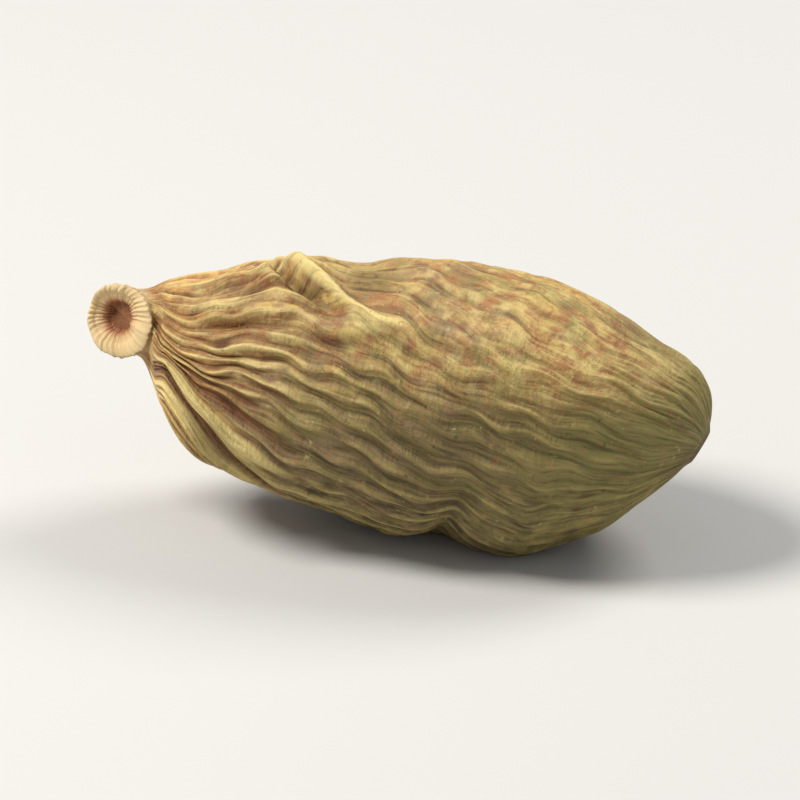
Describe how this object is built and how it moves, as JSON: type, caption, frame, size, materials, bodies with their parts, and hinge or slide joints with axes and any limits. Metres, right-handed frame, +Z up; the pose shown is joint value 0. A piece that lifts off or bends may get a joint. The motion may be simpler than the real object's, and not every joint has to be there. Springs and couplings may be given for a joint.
{
  "type": "cardamom pod",
  "caption": "Dried green cardamom pod: a closed three-sided husk with fine lengthwise ribs, a short hollow stub at one end and a blunt scarred end at the other.",
  "frame": {"origin": "middle of the pod's footprint, at the level of the flat spot on its belly", "axes": "+X along the pod from the hollow stub to the blunt end; +Z up, away from the flat spot the pod lies on; the stub's mouth turns towards -Y"},
  "size_m": [0.013, 0.0056, 0.006],
  "materials": {
    "dry_husk": "dull, slightly waxy, ribbed"
  },
  "bodies": {
    "root": {"cardamom_pod": "dry_husk"}
  },
  "joints": []
}
